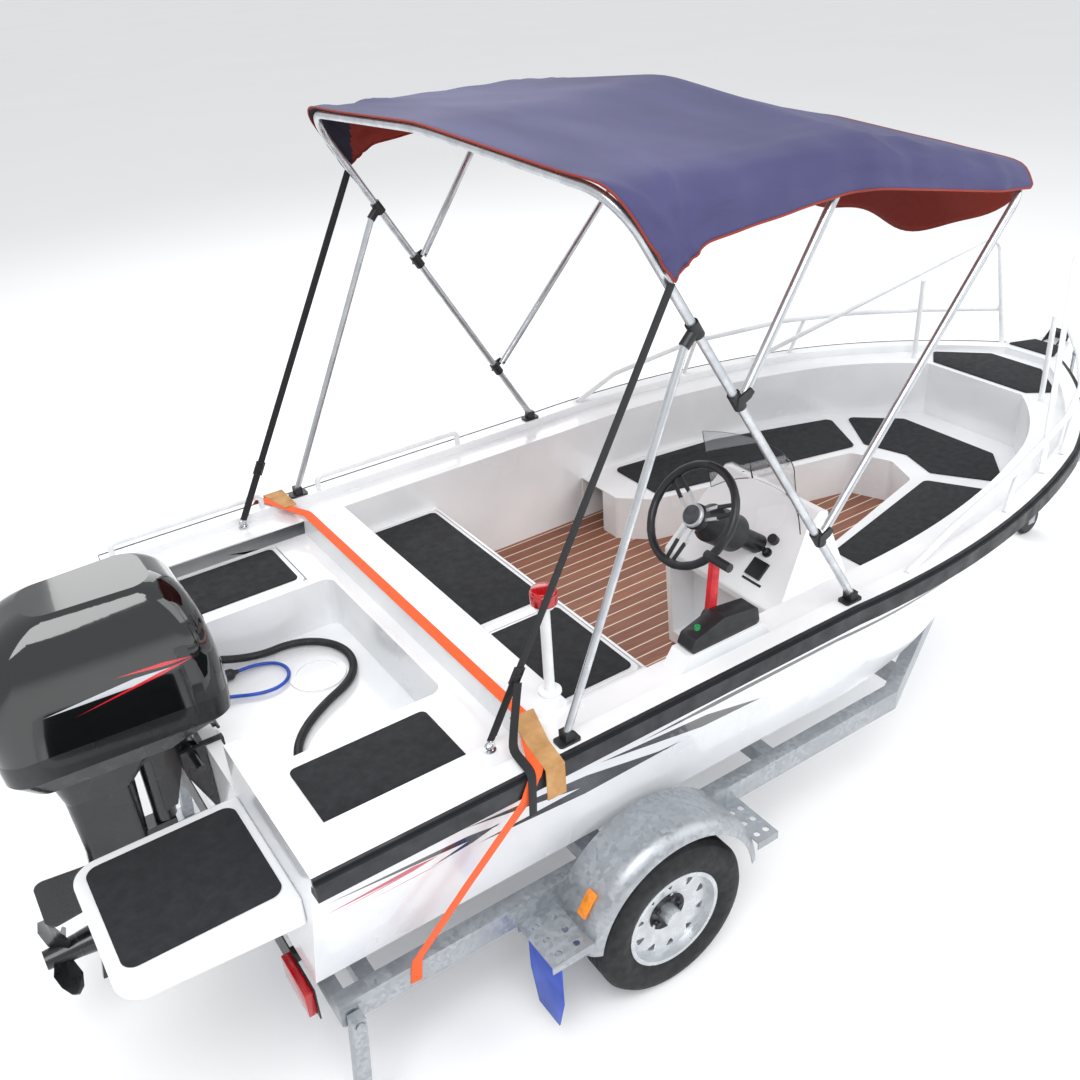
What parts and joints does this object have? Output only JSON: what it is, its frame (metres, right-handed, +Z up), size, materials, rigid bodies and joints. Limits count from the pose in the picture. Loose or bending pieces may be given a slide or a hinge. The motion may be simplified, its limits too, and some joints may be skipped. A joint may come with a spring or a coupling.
{
  "type": "small open motorboat on its road trailer",
  "caption": "White flat-bottom aluminium boat with folding navy canopy, side console and tilting outboard motor, strapped to its galvanised road trailer",
  "frame": {"origin": "middle of the footprint on the ground, under the middle of the whole length", "axes": "+X to the bow, +Y to port, +Z up"},
  "size_m": [5.442, 1.9522, 2.617],
  "materials": {
    "white_hull": "gloss white paint on aluminium plate",
    "teak_sole": "brown plank-look sole with pale seams",
    "grip_pad": "charcoal foam grip pad, fine grain",
    "black_rubber": "satin black rubber",
    "clear_screen": "clear bent acrylic",
    "black_plastic": "satin black plastic",
    "white_tube": "gloss white paint on tube",
    "pole_aluminium": "bright satin anodised tube",
    "canopy_cloth": "navy canvas, red-brown lining",
    "black_webbing": "black webbing",
    "orange_webbing": "orange webbing",
    "card": "brown corrugated card",
    "red_lens": "clear red lens",
    "motor_black": "satin black paint",
    "gloss_black": "high gloss black cowl",
    "blue_hose": "satin blue hose",
    "blue_plastic": "satin blue plastic",
    "galvanised": "hot dip galvanised steel with spangle",
    "tyre": "black tyre rubber",
    "wheel_silver": "silver paint on steel",
    "bunk_carpet": "dark carpet on timber"
  },
  "bodies": {
    "boat_and_trailer": {"aft_deck": "white_hull", "axle": "galvanised", "bench": "white_hull", "bow_roller": "black_rubber", "bow_seat": "white_hull", "bunks": "bunk_carpet", "canopy": "canopy_cloth", "canopy_knuckles": "black_plastic", "canopy_main_bow": "pole_aluminium", "canopy_rear_poles": "pole_aluminium", "canopy_straps": "black_webbing", "clamp_bracket": "motor_black", "cockpit_floor": "teak_sole", "console": "white_hull", "control_hose": "black_rubber", "coupling": "galvanised", "dash_controls": "black_plastic", "deck_liner": "white_hull", "deck_pads": "grip_pad", "deck_rails": "white_tube", "edge_cards": "card", "fuel_hose": "blue_hose", "hull_shell": "white_hull", "jockey_leg": "galvanised", "lamps": "red_lens", "leaf_springs": "galvanised", "light_board": "galvanised", "mud_flaps": "blue_plastic", "mudguards": "galvanised", "primer_bulb": "black_rubber", "remote_control": "black_plastic", "rub_rail": "black_rubber", "swim_platforms": "white_hull", "tie_down_strap": "orange_webbing", "trailer_frame": "galvanised", "warning_light": "red_lens", "winch_post": "galvanised", "windscreen": "clear_screen"},
    "wheel_port": {"tyre_port": "tyre", "rim_port": "wheel_silver"},
    "wheel_starboard": {"tyre_starboard": "tyre", "rim_starboard": "wheel_silver"},
    "jockey_fork": {"jockey_fork": "galvanised"},
    "jockey_wheel": {"jockey_wheel": "black_rubber"},
    "motor_bracket": {"swivel_bracket": "motor_black"},
    "motor": {"motor_leg": "motor_black", "gearcase": "motor_black", "cowl_pan": "gloss_black", "cowl_cover": "gloss_black", "engine_block": "motor_black"},
    "propeller": {"propeller": "motor_black"},
    "steering_wheel": {"steering_wheel": "black_plastic"},
    "canopy_mid_bow": {"canopy_mid_bow": "pole_aluminium"},
    "canopy_front_bow": {"canopy_front_bow": "pole_aluminium"},
    "stern_locker_lid": {"stern_locker_lid": "white_hull"},
    "bench_lid_port": {"bench_lid_port": "white_hull"},
    "bench_lid_starboard": {"bench_lid_starboard": "white_hull"},
    "stand_port": {"stand_port": "galvanised"},
    "stand_starboard": {"stand_starboard": "galvanised"},
    "winch_drum": {"winch_drum": "galvanised"}
  },
  "joints": [
    {"name": "wheel_port_spin", "type": "hinge", "parent": "boat_and_trailer", "child": "wheel_port", "pos_m": [-1.035, 0.87, 0.283], "axis": [0, 1, 0], "continuous": true},
    {"name": "wheel_starboard_spin", "type": "hinge", "parent": "boat_and_trailer", "child": "wheel_starboard", "pos_m": [-1.035, -0.87, 0.283], "axis": [0, 1, 0], "continuous": true},
    {"name": "jockey_swivel", "type": "hinge", "parent": "boat_and_trailer", "child": "jockey_fork", "pos_m": [2.299, 0.13, 0.23], "axis": [0, 0, 1], "continuous": true},
    {"name": "jockey_spin", "type": "hinge", "parent": "jockey_fork", "child": "jockey_wheel", "pos_m": [2.254, 0.13, 0.08], "axis": [0, 1, 0], "continuous": true},
    {"name": "motor_tilt", "type": "hinge", "parent": "boat_and_trailer", "child": "motor_bracket", "pos_m": [-2.161, 0, 0.985], "axis": [0, 1, 0], "range_deg": [0, 60]},
    {"name": "motor_steer", "type": "hinge", "parent": "motor_bracket", "child": "motor", "pos_m": [-2.271, 0, 0.885], "axis": [0, 0, 1], "range_deg": [-30, 30]},
    {"name": "propeller_spin", "type": "hinge", "parent": "motor", "child": "propeller", "pos_m": [-2.675, 0, 0.405], "axis": [1, 0, 0], "continuous": true},
    {"name": "steering_wheel_turn", "type": "hinge", "parent": "boat_and_trailer", "child": "steering_wheel", "pos_m": [-0.64, -0.533, 1.432], "axis": [-0.8028, 0, 0.5962], "range_deg": [-450, 450]},
    {"name": "front_bow_fold", "type": "hinge", "parent": "boat_and_trailer", "child": "canopy_front_bow", "pos_m": [-0.43334, 0, 1.46105], "axis": [0, -1, 0], "range_deg": [0, 69.5], "deforming": ["canopy"]},
    {"name": "mid_bow_fold", "type": "hinge", "parent": "boat_and_trailer", "child": "canopy_mid_bow", "pos_m": [-0.74523, 0, 1.97366], "axis": [0, -1, 0], "range_deg": [0, 66.1]},
    {"name": "stern_locker_hinge", "type": "hinge", "parent": "boat_and_trailer", "child": "stern_locker_lid", "pos_m": [-2.007, 0.585, 1.085], "axis": [0, -1, 0], "range_deg": [0, 80]},
    {"name": "bench_lid_port_hinge", "type": "hinge", "parent": "boat_and_trailer", "child": "bench_lid_port", "pos_m": [-1.217, 0.317, 1], "axis": [0, -1, 0], "range_deg": [0, 80]},
    {"name": "bench_lid_starboard_hinge", "type": "hinge", "parent": "boat_and_trailer", "child": "bench_lid_starboard", "pos_m": [-1.217, -0.357, 1], "axis": [0, -1, 0], "range_deg": [0, 80]},
    {"name": "stand_port_fold", "type": "hinge", "parent": "boat_and_trailer", "child": "stand_port", "pos_m": [-2.056, 0.813, 0.48], "axis": [0, -1, 0], "range_deg": [0, 90]},
    {"name": "stand_starboard_fold", "type": "hinge", "parent": "boat_and_trailer", "child": "stand_starboard", "pos_m": [-2.056, -0.813, 0.48], "axis": [0, -1, 0], "range_deg": [0, 90]},
    {"name": "winch_turn", "type": "hinge", "parent": "boat_and_trailer", "child": "winch_drum", "pos_m": [2.004, 0, 0.966], "axis": [0, 1, 0], "continuous": true}
  ],
  "couplings": [
    {"joint": "steering_wheel_turn", "follows": "motor_steer", "ratio": 15},
    {"joint": "mid_bow_fold", "follows": "front_bow_fold", "ratio": 0.9497}
  ]
}
